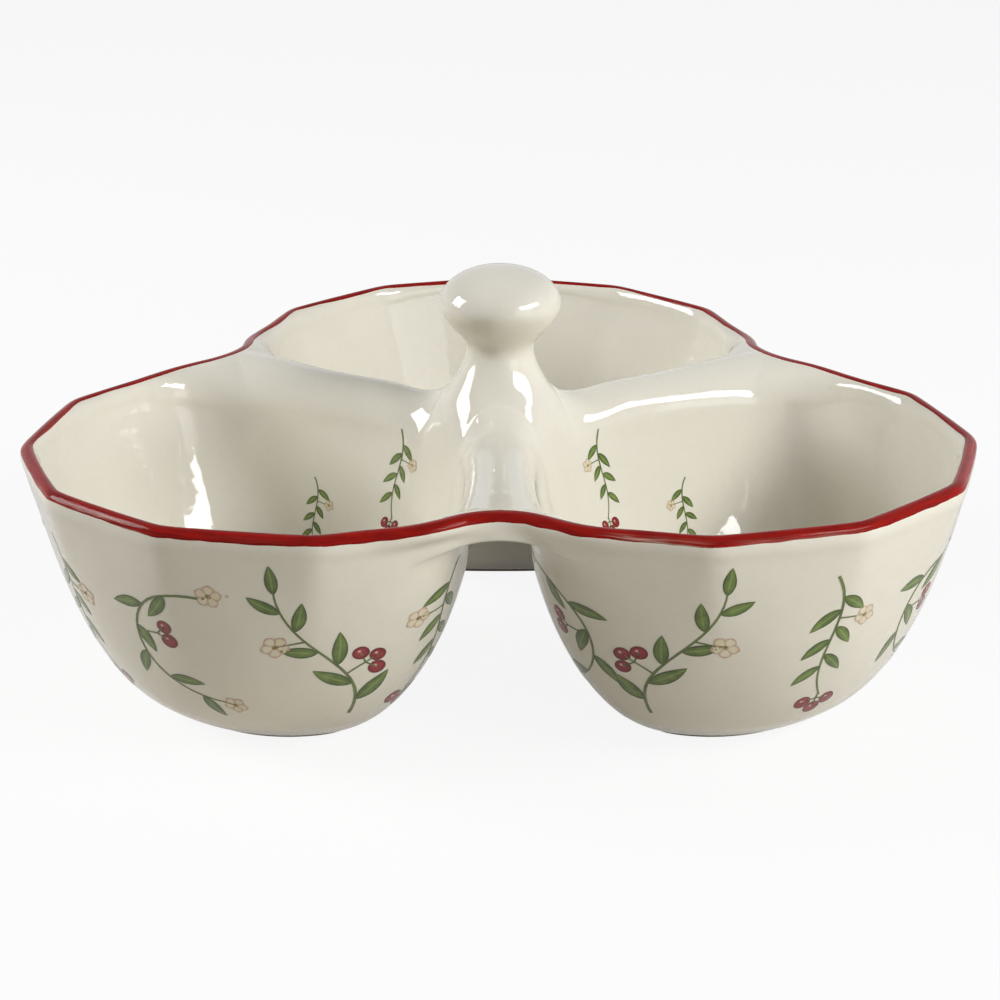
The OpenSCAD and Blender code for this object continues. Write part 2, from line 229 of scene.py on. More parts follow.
def panel_scale(deg, turn, depth):
    middles = turn + panel_deg * (np.arange(PANELS) + 0.5)
    facing = np.maximum(cosd(np.asarray(deg)[..., None] - middles), 0)
    flat = cosd(panel_deg / 2) / (facing ** CREASE_POWER).sum(-1) ** (1 / CREASE_POWER)
    return 1 - depth + depth * flat


def centre_reach(z):
    return mix(FOOT_REACH, RIM_REACH, z / RIM_H)


def wall_r(z):
    s = np.maximum(z, 0) / wall_h
    heel = np.exp(-np.maximum(z, 0) / HEEL_H)
    return mix(FOOT_R, edge_r, s ** WALL_POWER * (1 - heel) + s * heel)


def half_gap(z):
    return mix(GAP_TOP, GAP_FOOT, np.exp(-z / GAP_FADE_H))


def lean(z):
    return (wall_r(z + SLOPE_STEP) - wall_r(z)) / SLOPE_STEP


def tilt_out(z):
    return 1 / np.sqrt(1 + lean(z) ** 2)


def tilt_up(z):
    return lean(z) * tilt_out(z)


def outline_r(deg, z, turn, inset, panel_share=PANEL_SHARE):
    depth = panel_share * smooth((z / RIM_H - PANEL_START_SHARE) / (1 - PANEL_START_SHARE))
    round_r = wall_r(z) * panel_scale(deg, turn, depth) - inset
    tilt = GAP_TILT * z / RIM_H
    outer_side = (cosd(tilt) * (centre_reach(z) * sind(WEB_DIR) - half_gap(z))
                  + sind(tilt) * (GAP_PIVOT - centre_reach(z) * cosd(WEB_DIR)))
    side = outer_side - inset
    end = outer_side / cosd(90 - WEB_DIR + tilt) * mix(
        INNER_END_SHARE, INNER_TOP_SHARE, np.minimum(1, z / RIM_H / INNER_RISE_SHARE)) - inset
    total = round_r ** -CORNER_POWER
    side_deg = 90 + WEB_DIR - tilt
    for facing, reach in ((cosd(deg - side_deg), side), (cosd(deg + side_deg), side), (-cosd(deg), end)):
        total = total + (np.maximum(facing, 0) / reach) ** CORNER_POWER
    return total ** (-1 / CORNER_POWER)


def along(deg, r, z):
    return np.stack([centre_reach(z) + r * cosd(deg), r * sind(deg)], -1)


def outer_xy(deg, z, turn):
    return along(deg, outline_r(deg, z, turn, 0.0), z)


def cavity_xy(deg, z, turn):
    near = np.maximum(z - WALL_T * tilt_up(z), FOOT_H)
    source = np.maximum(z - WALL_T * tilt_up(near), FOOT_H)
    return along(deg, outline_r(deg, source, turn, WALL_T * tilt_out(source), CAVITY_PANEL_SHARE), source)


def at(xy, z):
    z = np.broadcast_to(z, xy.shape[:-1])
    return np.concatenate([xy, z[..., None]], -1)


# Stations round a bowl lie on its rim, on a web or on the hub
RIM, WEB, HUB = 0, 1, 2


def stations(turn):
    """Angle, edge, crest, crest height and kind of every section of one bowl."""
    fillet = np.linspace(fillet_deg, notch_deg, FILLET_COUNT)
    deg = np.concatenate([-fillet[::-1], np.linspace(-fillet_deg, fillet_deg, RIM_COUNT)[1:-1], fillet])
    side = np.abs(deg)
    on_round = side <= fillet_deg + 1e-9
    depth = PANEL_SHARE * smooth((fillet_deg - side) / NOTCH_FADE_DEG)
    fx, fy = fillet_c
    facing = fx * cosd(side) + fy * sind(side)
    across = facing ** 2 + NOTCH_FILLET_R ** 2 - fx ** 2 - fy ** 2
    r = np.where(on_round, edge_r * panel_scale(deg, turn, depth), facing - np.sqrt(np.maximum(across, 0)))
    edge = along(deg, r, RIM_H)
    centre = np.stack([np.full_like(deg, RIM_REACH + fx), np.sign(deg) * fy], -1)
    in_dir = np.where(on_round[:, None], -np.stack([cosd(deg), sind(deg)], -1), unit(edge - centre))
    notch = smooth((side - notch_deg + NOTCH_FADE_DEG) / NOTCH_FADE_DEG)
    rim = (deg, edge, edge + lip_in * in_dir, crest_h + NOTCH_RISE * notch, np.full(len(deg), RIM))

    k = np.arange(1, WEB_COUNT)
    reach = mix(notch_reach - lip_in, seat_r, (1 - cosd(180 * k / WEB_COUNT)) / 2)
    rise = NOTCH_RISE * smooth((reach / notch_reach - RISE_FADE_SHARE) / (1 - RISE_FADE_SHARE))

    def web(reach, rise, hand):
        crest = reach[:, None] * np.array([cosd(WEB_DIR), hand * sind(WEB_DIR)])
        top_h = crest_h + rise + flare_rise(reach)
        return deg_from(crest, RIM_REACH), crest, crest, top_h, np.full(len(reach), WEB)

    turn_deg = mix(WEB_DIR, -WEB_DIR, np.arange(HUB_COUNT + 1) / HUB_COUNT)
    dirs = np.stack([cosd(turn_deg), sind(turn_deg)], -1)
    crest = seat_r * dirs
    hub = (deg_from(crest, RIM_REACH), BORE_R * dirs, crest,
           np.full(len(dirs), seat_h), np.full(len(dirs), HUB))
    parts = [rim, web(reach, rise, 1), hub, web(reach[::-1], rise[::-1], -1)]
    return [np.concatenate(column) for column in zip(*parts)]


def steps(count):
    """Shares of a way that is walked in equal steps, without its start."""
    return [j / count for j in range(1, count + 1)]


def bowl_grid(turn):
    """All sections of one bowl as rings by stations, from the cavity's floor over the crest to the foot."""
    deg, edge, crest, top_h, kind = stations(turn)
    reach = norms(crest)
    width = norms(crest - cavity_xy(deg, crest_h - RIDGE_DROP, turn))
    drop = mix(LIP_DROP, RIDGE_DROP, smooth((width - lip_in) / (RIDGE_W - lip_in)))
    from_h = crest_h - drop
    rings = []

    floor_edge = at(cavity_xy(deg, cavity_floor_h, turn), cavity_floor_h)
    middle = np.array([centre_reach(FOOT_H), 0, cavity_floor_h])
    for share in FLOOR_SHARES:
        rings.append(mix(middle, floor_edge, share))
    for share in np.linspace(0, 1, CAVITY_RINGS + 1) ** RING_POWER:
        z = mix(cavity_floor_h, from_h, share)
        rings.append(at(cavity_xy(deg, z, turn), z))

    # From the cavity's wall up to the crest: a rounded shoulder, which near the post turns into its flare
    start = at(cavity_xy(deg, from_h, turn), from_h)
    top = at(crest, top_h)
    web_power = mix(ROUND_POWER, RIDGE_POWER, smooth((notch_reach - reach) / POWER_FADE_W))
    power = np.where(kind == RIM, ROUND_POWER, web_power - flare_rise(reach) / SEAT_RISE)
    wall_up = unit(start - at(cavity_xy(deg, from_h - 1, turn), from_h - 1))
    hub_deg = deg_from(crest)
    hand = np.where(hub_deg < 0, -1.0, 1.0)[:, None]
    side_dir = at(np.stack([-sind(hub_deg), cosd(hub_deg)], -1), 0) * hand
    slope_dir = unit(at(-np.stack([cosd(hub_deg), sind(hub_deg)], -1), seat_slope))
    fan = np.where(kind == HUB, smooth((WEB_DIR - np.abs(hub_deg)) / FLARE_FAN_DEG), 0)[:, None]
    end_dir = unit(mix(side_dir, slope_dir, fan))
    chord = norms(top - start)[:, None]
    near_post = smooth((seat_r + FLARE_FADE_W - reach) / FLARE_FADE_W)
    blend = np.where(kind == HUB, 1.0, np.where(kind == WEB, near_post, 0))[:, None]
    for t in steps(SHOULDER_RINGS):
        sideways, up = 1 - cosd(90 * t) ** (2 / power), sind(90 * t) ** (2 / power)
        bulge = at(mix(start[:, :2], top[:, :2], sideways[:, None]), mix(start[:, 2], top[:, 2], up))
        # A cubic through both ends, with a direction at each
        ends = mix(start, top, 3 * t ** 2 - 2 * t ** 3)
        curve = ends + chord * ((t ** 3 - 2 * t ** 2 + t) * wall_up + (t ** 3 - t ** 2) * end_dir)
        rings.append(mix(bulge, curve, blend))

    # Over the lip, or down the middle of a web, or across the post's seat
    out = edge - crest
    for t in steps(LIP_RINGS):
        z = np.where(kind == HUB, top_h, top_h - LIP_DROP * (1 - cosd(90 * t)))
        rings.append(at(crest + out * sind(90 * t), z))
    lip_low = rings[-1][:, 2]
    off = np.abs(edge[:, 0] * sind(WEB_DIR) - np.abs(edge[:, 1]) * cosd(WEB_DIR))
    under_share = smooth(1 - (notch_deg - np.abs(deg)) / UNDER_FADE_DEG)
    most = ARCH_H * ARCH_DROP_SHARE
    low_edge = under_h - np.where(kind == RIM, most * np.tanh(off ** 2 / 2 / ARCH_R / most), 0)
    for t in steps(FACE_RINGS):
        z = mix(lip_low, low_edge, t)
        base = mix(outer_xy(deg, z, turn), edge, under_share[:, None])
        below = mix(base, edge, smooth(1 - (lip_low - z) / LIP_FADE_H)[:, None])
        rings.append(at(np.where((kind == RIM)[:, None], below, edge), z))
    edge_under = rings[-1][:, :2]
    over = edge_under - outer_xy(deg, low_edge, turn)
    for t in steps(ARCH_RINGS):
        a = 90 - 90 * t
        z = mix(arch_foot_h, low_edge, sind(a))
        rings.append(at(outer_xy(deg, z, turn) + over * (1 - cosd(a)), z))
    for t in steps(OUTSIDE_RINGS):
        z = mix(FOOT_H, arch_foot_h, (1 - t) ** RING_POWER)
        rings.append(at(outer_xy(deg, z, turn), z))
    base = rings[-1]
    foot_middle = np.array([centre_reach(FOOT_H), 0, FOOT_H])
    for share in BASE_SHARES:
        rings.append(mix(base, foot_middle, share))
    grid = np.array(rings)
    for first, last, rounds in SOFT_RINGS:
        a, b = first % len(rings), last % len(rings)
        for _ in range(rounds):
            grid[a:b] = (grid[a - 1:b - 1] + 2 * grid[a:b] + grid[a + 1:b + 1]) / 4
    return grid, grid[0].mean(0), foot_middle


def grid_faces(rows, count, base):
    """Quads between rings of so many places each, closed round."""
    k, i = np.meshgrid(np.arange(rows - 1), np.arange(count), indexing="ij")
    j = (i + 1) % count
    a, b = base + k * count + i, base + k * count + j
    return np.stack([a, a + count, b + count, b], -1).reshape(-1, 4)


def loop_quads(rows, cols):
    """Quads of a strip that closes both ways: their corners' rows and columns, and their faces."""
    quads = [((n, k), (n, k + 1), (n + 1, k + 1), (n + 1, k)) for n in range(rows) for k in range(cols)]
    return quads, [[row % rows * cols + col % cols for row, col in quad] for quad in quads]


def cap_faces(count, start, apex, flip):
    """Triangles between one ring and a point in its middle."""
    i = np.arange(count)
    j = (i + 1) % count
    a, b = start + i, start + j
    order = (a, b) if flip else (b, a)
    return np.stack([np.full(count, apex), *order], -1)


# Post and knob
def knob_curve(r, top, low, deg):
    """Radius and height of one side of the knob, at angles from its widest line."""
    c, s = np.maximum(cosd(deg), 0), sind(deg)
    power = 2 / KNOB_LOW_POWER
    radius = np.where(deg >= 0, r * c, r * c ** power)
    height = np.where(deg >= 0, top * s, -low * np.maximum(-s, 0) ** power)
    return np.stack([radius, knob_h + height], -1)


def low_deg(r_share):
    return -math.degrees(math.acos(r_share ** (KNOB_LOW_POWER / 2)))


def handle_curve():
    """The outside of post and knob as one line of (radius, height) in even steps, POST_RINGS to the neck."""
    rise = np.linspace(SEAT_RISE, neck_rise, POST_SAMPLES)
    post = np.stack([flare_r(rise), crest_h + rise], -1)
    knob = knob_curve(KNOB_R, KNOB_TOP, KNOB_LOW, np.linspace(low_deg(NECK_R / KNOB_R), 90, KNOB_SAMPLES))
    line = np.concatenate([post, knob[1:]])
    way = way_along(line)
    neck = way[len(post) - 1]
    stops = [*np.linspace(0, neck, POST_RINGS + 1), *np.linspace(neck, way[-1], KNOB_RINGS + 1)[1:]]
    line = spaced(line, way, stops)
    near = smooth(1 - np.abs(np.array(stops) - neck) / NECK_SOFT_W)[1:-1, None]
    for _ in range(NECK_ROUNDS):
        line[1:-1] += near * (line[:-2] + line[2:] - 2 * line[1:-1]) / 3
    return line


def revolve(line):
    """Rings of (radius, height) points turned round the axis; the seat's points match the bowls' own."""
    a = np.arange(SEGMENTS) * 360 / SEGMENTS + WEB_DIR / 2
    return np.stack([np.stack([r * cosd(a), r * sind(a), np.full(SEGMENTS, z)], -1) for r, z in line])


# Pieces as raw points and faces
class Shell:
    """Points and faces of one piece, in millimetres about the server's axis."""

    def __init__(self, name):
        self.name, self.points, self.faces, self.hidden = name, np.zeros((0, 3)), [], []

    def add(self, points, faces, hidden=False):
        base = len(self.points)
        self.points = np.concatenate([self.points, points])
        self.faces += [[int(v) + base for v in f] for f in faces]
        self.hidden += np.broadcast_to(hidden, len(faces)).tolist()


def on_web_plane(p):
    """Whether all corners lie on a plane where two bowls meet."""
    a, b = p[..., 0] * sind(WEB_DIR), p[..., 1] * cosd(WEB_DIR)
    return (np.abs(a - b) < ON_PLANE).all(-1) | (np.abs(a + b) < ON_PLANE).all(-1)


def on_seat(p):
    """Whether all corners lie on the seat under the post."""
    return (np.abs(p[..., 2] - seat_h) < ON_PLANE).all(-1)


def make_bowl(name, direction, turn):
    grid, middle_top, middle_low = bowl_grid(turn)
    rows, count, _ = grid.shape
    points = np.concatenate([grid.reshape(-1, 3), [middle_top, middle_low]])
    quads = grid_faces(rows, count, 0)
    corner = points[quads]
    hidden = on_web_plane(corner) | on_seat(corner)
    shell = Shell(name)
    caps = np.concatenate([cap_faces(count, 0, rows * count, True),
                           cap_faces(count, (rows - 1) * count, rows * count + 1, False)])
    shell.add(turned(points, direction), [*quads, *caps], [*hidden, *[False] * len(caps)])
    return shell


def make_handle():
    """The post with its bore, and the knob with its hollow."""
    line = handle_curve()
    neck_h = line[POST_RINGS][1]
    bore_low, bore_top = np.array([BORE_R, seat_h]), np.array([NECK_BORE_R, neck_h])
    bore = [mix(bore_top, bore_low, t) for t in BORE_SHARES]

    def close(low):
        """Faces between the first ring and the one whose places start at a number."""
        i = np.arange(SEGMENTS)
        j = (i + 1) % SEGMENTS
        return np.stack([low + i, low + j, j, i], -1).tolist()

    post = Shell("handle_post")
    rings = revolve(np.concatenate([line[:POST_RINGS + 1], bore]))
    rows = len(rings)
    quads = grid_faces(rows, SEGMENTS, 0)[:, ::-1]
    hidden = np.repeat(np.arange(rows) >= POST_RINGS, SEGMENTS)
    post.add(rings.reshape(-1, 3), [*quads, *close((rows - 1) * SEGMENTS)], hidden)

    knob = Shell("knob")
    hollow_r = KNOB_R - KNOB_WALL
    hollow_low = (knob_h - neck_h) / low_share(NECK_BORE_R / hollow_r)
    inner = knob_curve(hollow_r, KNOB_TOP - KNOB_WALL, hollow_low,
                       np.linspace(90, low_deg(NECK_BORE_R / hollow_r), HOLLOW_RINGS + 1))
    outer = line[POST_RINGS:]
    rings = revolve(outer[:-1])
    tip = len(rings) * SEGMENTS
    knob.add(np.concatenate([rings.reshape(-1, 3), [[0, 0, outer[-1][1]]]]),
             [*grid_faces(len(rings), SEGMENTS, 0)[:, ::-1], *cap_faces(SEGMENTS, tip - SEGMENTS, tip, True)])
    rings = revolve(inner[1:])
    knob.add(np.concatenate([[[0, 0, inner[0][1]]], rings.reshape(-1, 3)]),
             [*grid_faces(len(rings), SEGMENTS, 1)[:, ::-1], *cap_faces(SEGMENTS, 1, 0, False)], True)
    knob.faces += close(len(knob.points) - SEGMENTS)
    knob.hidden += [True] * SEGMENTS
    return post, knob


def merged(shells):
    """One number for each place, shared by the pieces that meet there."""
    points = np.concatenate([s.points for s in shells])
    key = np.floor(points / CELL + CELL_SHIFT).astype(np.int64)
    _, first, number = np.unique(key, axis=0, return_index=True, return_inverse=True)
    return points[first], number.reshape(-1)


def shared_faces(shells, number, joint=False):
    """The faces in the places' numbers: those that show, or those hidden in a joint."""
    faces, base = [], 0
    for s in shells:
        faces += [[int(number[v + base]) for v in f] for f, h in zip(s.faces, s.hidden) if h == joint]
        base += len(s.points)
    return faces


def used_by(faces, count):
    """Which of so many places the faces use."""
    used = np.zeros(count, bool)
    used[[v for f in faces for v in f]] = True
    return used


def relax(places, faces, weight):
    """Moves each place towards the mean of its neighbours, by its weight and by at most RELAX_MOST."""
    pairs = np.array([pair for f in faces for pair in zip(f, f[1:] + f[:1])])
    pairs = np.unique(np.concatenate([pairs, pairs[:, ::-1]]), axis=0)
    pairs = pairs[weight[pairs[:, 0]] > 0]
    count = np.maximum(np.bincount(pairs[:, 0], minlength=len(places)), 1)[:, None]
    moved = places
    for _ in range(RELAX_ROUNDS):
        total = np.stack([np.bincount(pairs[:, 0], moved[pairs[:, 1], j], len(places)) for j in range(3)], -1)
        moved = mix(moved, total / count, RELAX_PACE * weight[:, None])
        step = moved - places
        length = np.maximum(norms(step), 1e-9)[:, None]
        moved = places + step * np.minimum(1, RELAX_MOST / length)
    return moved


def follow(places, moved, edge, inner):
    """Carries the places inside a joint along with those on the joint's edge."""
    away = np.linalg.norm(places[inner, None] - places[None, edge], axis=2)
    share = 1 / (away ** 3 + 1e-6)
    out = moved.copy()
    out[inner] += share @ (moved - places)[edge] / share.sum(1)[:, None]
    return out


def place_normals(places, faces):
    """Normals of the places: the mean of the faces' own, in which a large face counts a little more."""
    normal = np.zeros_like(places)
    for size in (3, 4):
        f = np.array([x for x in faces if len(x) == size])
        n = np.cross(places[f[:, 2]] - places[f[:, 0]], places[f[:, -1]] - places[f[:, 1]])
        n = n / np.maximum(np.sqrt(norms(n)), 1e-9)[:, None]
        for v in range(size):
            np.add.at(normal, f[:, v], n)
    return normal / np.maximum(norms(normal), 1e-12)[:, None]


def new_object(name, data):
    obj = bpy.data.objects.new(name, data)
    bpy.context.scene.collection.objects.link(obj)
    return obj


def new_mesh(name, points, faces, materials, corner_normals=None):
    """A mesh of points in millimetres about the server's axis, moved to the row's frame."""
    mesh = bpy.data.meshes.new(name)
    mesh.from_pydata(((points + np.array([0, AXIS_Y, 0])) * MM).tolist(), [], faces)
    mesh.update()
    mesh.polygons.foreach_set("use_smooth", np.ones(len(faces), bool))
    if corner_normals is not None:
        mesh.normals_split_custom_set(corner_normals)
    for material in materials:
        mesh.materials.append(material)
    return new_object(name, mesh)


def own_piece(obj, node):
    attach(obj, "root")
    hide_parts(node)


# Materials
class Nodes:
    """A short way to write the nodes of a material or of the world."""

    def __init__(self, owner, shader="Principled BSDF"):
        owner.use_nodes = True
        self.tree = owner.node_tree
        self.shader = self.tree.nodes[shader]

    def feed(self, socket, value):
        if isinstance(value, bpy.types.NodeSocket):
            self.tree.links.new(value, socket)
        else:
            socket.default_value = value

    def new(self, kind, inputs=None, **settings):
        node = self.tree.nodes.new(kind)
        for key, value in settings.items():
            setattr(node, key, value)
        for key, value in (inputs or {}).items():
            self.feed(node.inputs[key], value)
        return node

    def place(self):
        return self.new("ShaderNodeNewGeometry").outputs["Position"]

    def noise(self, scale, detail, rough=0.5, vector=None, distort=0.0):
        inputs = {"Scale": scale, "Detail": detail, "Roughness": rough, "Distortion": distort,
                  "Vector": vector or self.place()}
        return self.new("ShaderNodeTexNoise", inputs).outputs["Fac"]

    def ramp(self, value, low, high, to_low=0.0, to_high=1.0):
        inputs = {"Value": value, "From Min": low, "From Max": high, "To Min": to_low, "To Max": to_high}
        return self.new("ShaderNodeMapRange", inputs, interpolation_type="SMOOTHSTEP").outputs["Result"]

    def math(self, operation, a, b=0.0):
        return self.new("ShaderNodeMath", {0: a, 1: b}, operation=operation).outputs[0]

    def colour(self, share, a, b):
        """A mix of two colours; sockets 6 and 7 are the node's colour inputs and output 2 its colour."""
        node = self.new("ShaderNodeMix", {"Factor": share}, data_type="RGBA")
        for key, value in ((6, a), (7, b)):
            self.feed(node.inputs[key], (*value, 1) if isinstance(value, tuple) else value)
        return node.outputs[2]

    def away(self, x, y, spot):
        """How far (x, y) is from a spot."""
        point = self.new("ShaderNodeCombineXYZ", {0: x, 1: y}).outputs[0]
        node = self.new("ShaderNodeVectorMath", {0: point, 1: (*spot, 0.0)}, operation="DISTANCE")
        return node.outputs["Value"]

    def stretched(self, vector, along, across):
        scale = (along, across, 1.0)
        return self.new("ShaderNodeMapping", {"Vector": vector, "Scale": scale}).outputs["Vector"]

    def set(self, **values):
        for key, value in values.items():
            self.feed(self.shader.inputs[key.replace("_", " ")], value)

    def bump(self, height, distance):
        node = self.new("ShaderNodeBump", {"Height": height, "Distance": distance})
        self.set(Normal=node.outputs["Normal"])


def new_material(name):
    material = bpy.data.materials.new(name)
    return material, Nodes(material)


def sees_background(n):
    """1 for rays from the camera, off a gloss or through glass, and 1 for those from the camera alone."""
    path = n.new("ShaderNodeLightPath").outputs
    through = n.math("MAXIMUM", path["Is Glossy Ray"], path["Is Transmission Ray"])
    return n.math("MAXIMUM", path["Is Camera Ray"], through), path["Is Camera Ray"]


def glaze_waves(n):
    """The slow waves that a thick glaze dries with; paint under it has the same ones."""
    wave = n.math("ADD", n.noise(24, 1, 0.3), n.math("MULTIPLY", n.noise(95, 2, 0.5), 0.16))
    n.bump(wave, 0.0015)


def glaze_material():
    material, n = new_material("cream_glaze")
    broad = n.ramp(n.noise(18, 3), 0.3, 0.7)
    base = n.colour(broad, (0.860, 0.826, 0.722), (0.835, 0.802, 0.702))
    fine = n.ramp(n.noise(420, 4, 0.65), 0.45, 0.75, 0.0, 0.10)
    base = n.colour(fine, base, (0.70, 0.64, 0.52))
    specks = n.new("ShaderNodeTexVoronoi", {"Scale": 55.0, "Vector": n.place(), "Randomness": 1.0})
    chosen = n.ramp(n.noise(37, 0), 0.66, 0.70)
    dot = n.math("MULTIPLY", n.ramp(specks.outputs["Distance"], 0.035, 0.055, 1.0, 0.0), chosen)
    base = n.colour(n.math("MULTIPLY", dot, 0.5), base, (0.50, 0.23, 0.16))
    n.set(Base_Color=base, Roughness=0.05, IOR=1.45)
    glaze_waves(n)
    return material


def red_material():
    material, n = new_material("red_glaze")
    uv = n.new("ShaderNodeUVMap", uv_map="band").outputs["UV"]
    across = n.new("ShaderNodeSeparateXYZ", {0: uv}).outputs["Y"]
    strokes, pools = n.stretched(uv, 9.0, 5.0), n.stretched(uv, 24.0, 1.6)
    highlight_streaks, sparse = n.stretched(uv, 5.0, 7.0), n.stretched(uv, 1.7, 0.3)
    stroke = n.ramp(n.noise(1.0, 4, 0.6, strokes, 0.3), 0.30, 0.72)
    pool = n.ramp(n.noise(1.0, 2, 0.5, pools), 0.35, 0.70)
    base = n.colour(stroke, (0.205, 0.003, 0.001), (0.390, 0.006, 0.002))
    base = n.colour(n.math("MULTIPLY", pool, 0.5), base, (0.280, 0.004, 0.001))
    # Here and there the lower part of the band is painted pale pink: partly where the band runs thin over the
    # pale glaze, partly a painted highlight along the lip's lower edge
    thin = n.math("MULTIPLY", n.ramp(n.noise(1.0, 3, 0.5, highlight_streaks, 0.4), 0.42, 0.74),
                  n.ramp(n.noise(1.0, 1, 0.5, sparse), 0.48, 0.70))
    low_edge = n.ramp(across, 0.52, 0.86)
    # This pale pink is partly a painted highlight, not only thin paint
    base = n.colour(n.math("MULTIPLY", thin, low_edge), base, (0.74, 0.50, 0.40))
    top_edge = n.math("MULTIPLY", n.ramp(across, 0.0, 0.10, 1.0, 0.0), 0.25)
    base = n.colour(top_edge, base, (0.36, 0.07, 0.05))
    n.set(Base_Color=base, Roughness=0.10, IOR=1.45, Specular_IOR_Level=0.10)
    n.bump(n.noise(1.0, 3, 0.5, strokes), 0.00012)
    return material


# Each paint's two wash colours and its tints: over which share of the shape (along it, off its middle line,
# or from a spot), from where to where, how strong at either end, and their colour
PAINTS = {
    "stem": ((0.120, 0.165, 0.045), (0.200, 0.250, 0.085), ()),
    "leaf": ((0.105, 0.165, 0.034), (0.190, 0.270, 0.060), (
        ("off", 0.0, 0.30, 0.55, 0.0, (0.330, 0.420, 0.130)),
        ("off", 0.55, 1.0, 0.0, 0.85, (0.040, 0.072, 0.018)),
        ("along", 0.0, 0.35, 0.6, 0.0, (0.050, 0.085, 0.020)))),
    "berry": ((0.250, 0.014, 0.018), (0.360, 0.030, 0.034), (
        ((0.5, 0.5), 0.28, 0.5, 0.0, 0.75, (0.105, 0.006, 0.009)),
        ((0.40, 0.63), 0.05, 0.13, 0.85, 0.0, (0.80, 0.56, 0.52)))),
    "petal": ((0.780, 0.690, 0.480), (0.830, 0.760, 0.600), (
        ("off", 0.45, 1.0, 0.0, 0.6, (0.450, 0.190, 0.130)),
        ("along", 0.72, 1.0, 0.0, 0.7, (0.430, 0.160, 0.120)),
        ("along", 0.0, 0.35, 0.5, 0.0, (0.480, 0.330, 0.120)))),
    "eye": ((0.330, 0.190, 0.040), (0.420, 0.270, 0.070), ()),
}


def paint_material(kind):
    """Glaze with one of the sprigs' paints in it."""
    material, n = new_material("paint_" + kind)
    share = n.new("ShaderNodeSeparateXYZ", {0: n.new("ShaderNodeUVMap", uv_map="paint").outputs["UV"]})
    along, across = share.outputs["X"], share.outputs["Y"]
    off = n.math("MULTIPLY", n.math("ABSOLUTE", n.math("SUBTRACT", across, 0.5)), 2.0)
    dark, light, tints = PAINTS[kind]
    base = n.colour(n.ramp(n.noise(260, 3, 0.6), 0.32, 0.70), dark, light)
    for where, low, high, at_low, at_high, tint in tints:
        value = {"along": along, "off": off}.get(where) or n.away(along, across, where)
        base = n.colour(n.ramp(value, low, high, at_low, at_high), base, tint)
    n.set(Base_Color=base, Roughness=0.05, IOR=1.45)
    glaze_waves(n)
    return material


def clay_material():
    material, n = new_material("bare_clay")
    grain = n.noise(900, 5, 0.7)
    base = n.colour(n.ramp(grain, 0.3, 0.7), (0.60, 0.50, 0.38), (0.74, 0.66, 0.55))
    base = n.colour(n.ramp(n.noise(60, 3), 0.45, 0.75, 0.0, 0.5), base, (0.47, 0.38, 0.28))
    n.set(Base_Color=base, Roughness=0.85)
    n.bump(grain, 0.00025)
    return material


cream = glaze_material()
red = red_material()
clay = clay_material()

# The glazed body
shells = [make_bowl(*row) for row in BOWLS]
shells += make_handle()
places, number = merged(shells)
open_faces = shared_faces(shells, number)
reach = norms(places[:, :2])
from_seat = np.hypot(reach - seat_r, places[:, 2] - seat_h)
in_open = used_by(open_faces, len(places))
in_joint = used_by(shared_faces(shells, number, joint=True), len(places))
weight = np.where(in_open, smooth((RELAX_END - from_seat) / (RELAX_END - RELAX_FULL)), 0)
weight = np.where((reach < BORE_R + BORE_HOLD) & (places[:, 2] < seat_h + BORE_HOLD), 0, weight)
relaxed = relax(places, open_faces, weight)
places = follow(places, relaxed, np.flatnonzero(in_joint & in_open), np.flatnonzero(in_joint & ~in_open))
normals = place_normals(places, open_faces)
body_tree = BVHTree.FromPolygons(places.tolist(), open_faces)


def glazed_piece(shell, ids):
    """One piece of the body: flat in its joints, and elsewhere with the normals that its neighbours share."""
    points, corner = places[ids], []
    for f, hidden in zip(shell.faces, shell.hidden):
        if hidden:
            p = points[f]
            flat = np.cross(p[2] - p[0], p[-1] - p[1])
            corner += [flat / max(np.linalg.norm(flat), 1e-12)] * len(f)
        else:
            corner += [normals[ids[v]] for v in f]
    obj = new_mesh(shell.name + "_glazed", points, shell.faces, [cream], corner)
    own_piece(obj, shell.name)


base = 0
for shell in shells:
    glazed_piece(shell, number[base:base + len(shell.points)])
    base += len(shell.points)


# The red band
UP = np.array([0.0, 0.0, 1.0])


def waves(most, seed, periods, rough):
    """A smooth closed random line over the rim's length, up to its most on either side."""
    rng = np.random.default_rng(seed)
    u = np.linspace(0, 2 * np.pi, BAND_COUNT, endpoint=False)
    total = np.zeros(BAND_COUNT)
    for p in periods:
        total += rng.uniform(0.5, 1) * p ** -rough * np.sin(p * u + rng.uniform(0, 2 * np.pi))
    return most * (total / np.abs(total).max())


def rim_line():
    """Places at equal steps along the rim, the directions inward from them, and the rim's length."""
    line = []
    for _, direction, turn in BOWLS:
        _, edge, _, top_h, kind = stations(turn)
        line += [*turned(at(edge, top_h)[kind == RIM], direction)[:-1]]
    line = np.array([*line, line[0]])
    way = way_along(line[:, :2])
    places = spaced(line, way, np.linspace(0, way[-1], BAND_COUNT, endpoint=False))
    tangent = np.roll(places, -1, 0) - np.roll(places, 1, 0)
    inward = unit(np.stack([-tangent[:, 1], tangent[:, 0]], -1))
    for _ in range(2):
        inward = unit(np.roll(inward, 1, 0) + 2 * inward + np.roll(inward, -1, 0))
    return places, inward, way[-1]


